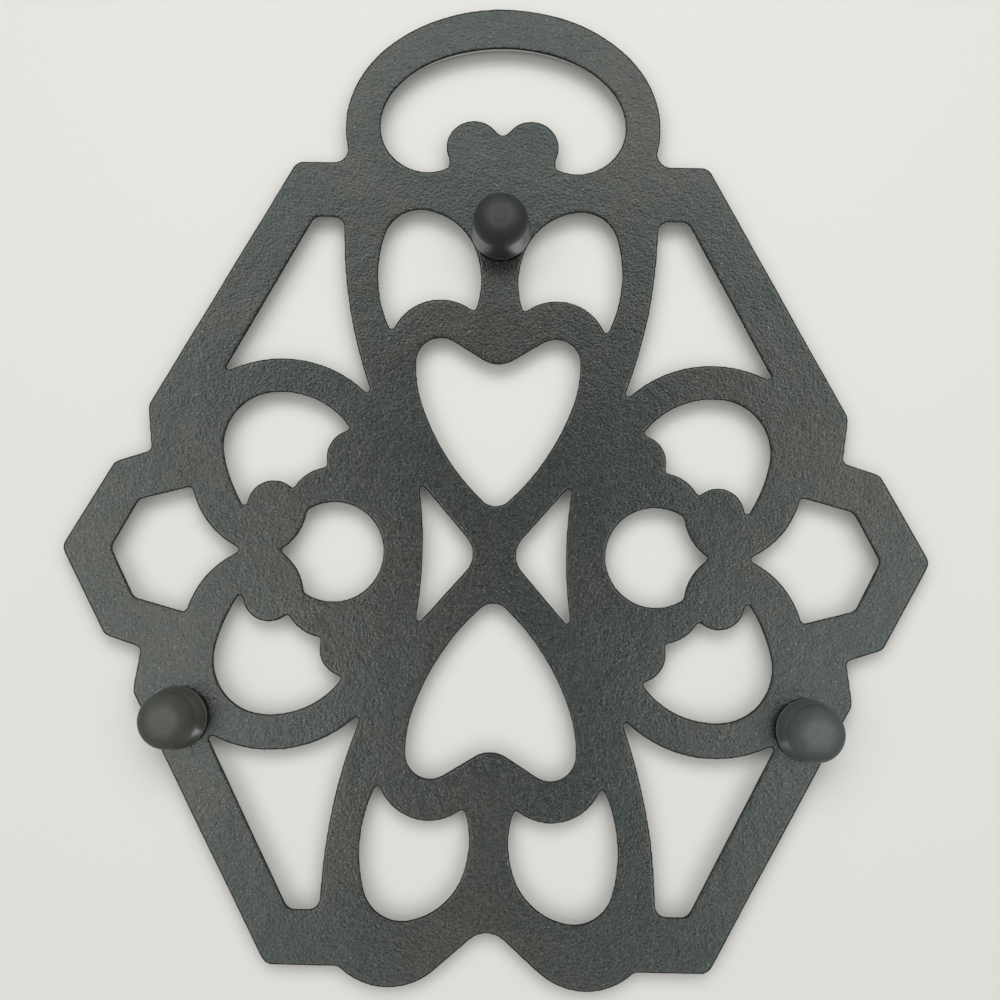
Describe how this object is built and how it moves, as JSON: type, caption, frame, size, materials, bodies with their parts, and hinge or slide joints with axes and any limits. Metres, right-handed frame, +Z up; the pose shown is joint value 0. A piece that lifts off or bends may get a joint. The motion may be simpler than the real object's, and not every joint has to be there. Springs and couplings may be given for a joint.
{
  "type": "trivet",
  "caption": "Cast iron openwork trivet with hearts, petals and crescents, a hanging loop, and cast feet with rubber caps.",
  "frame": {"origin": "on the table, under the centre of the outline", "axes": "+Z up, away from the table; +Y toward the hanging loop; +X to the right, seen from above with the loop away from the viewer"},
  "size_m": [0.1778, 0.2042, 0.016],
  "materials": {
    "cast_iron": "sand cast, blackened, fine grain",
    "rubber_cap": "smooth moulded rubber"
  },
  "bodies": {
    "root": {"trivet_plate": "cast_iron", "foot_cap_loop": "rubber_cap", "foot_cap_left": "rubber_cap", "foot_cap_right": "rubber_cap"}
  },
  "joints": []
}
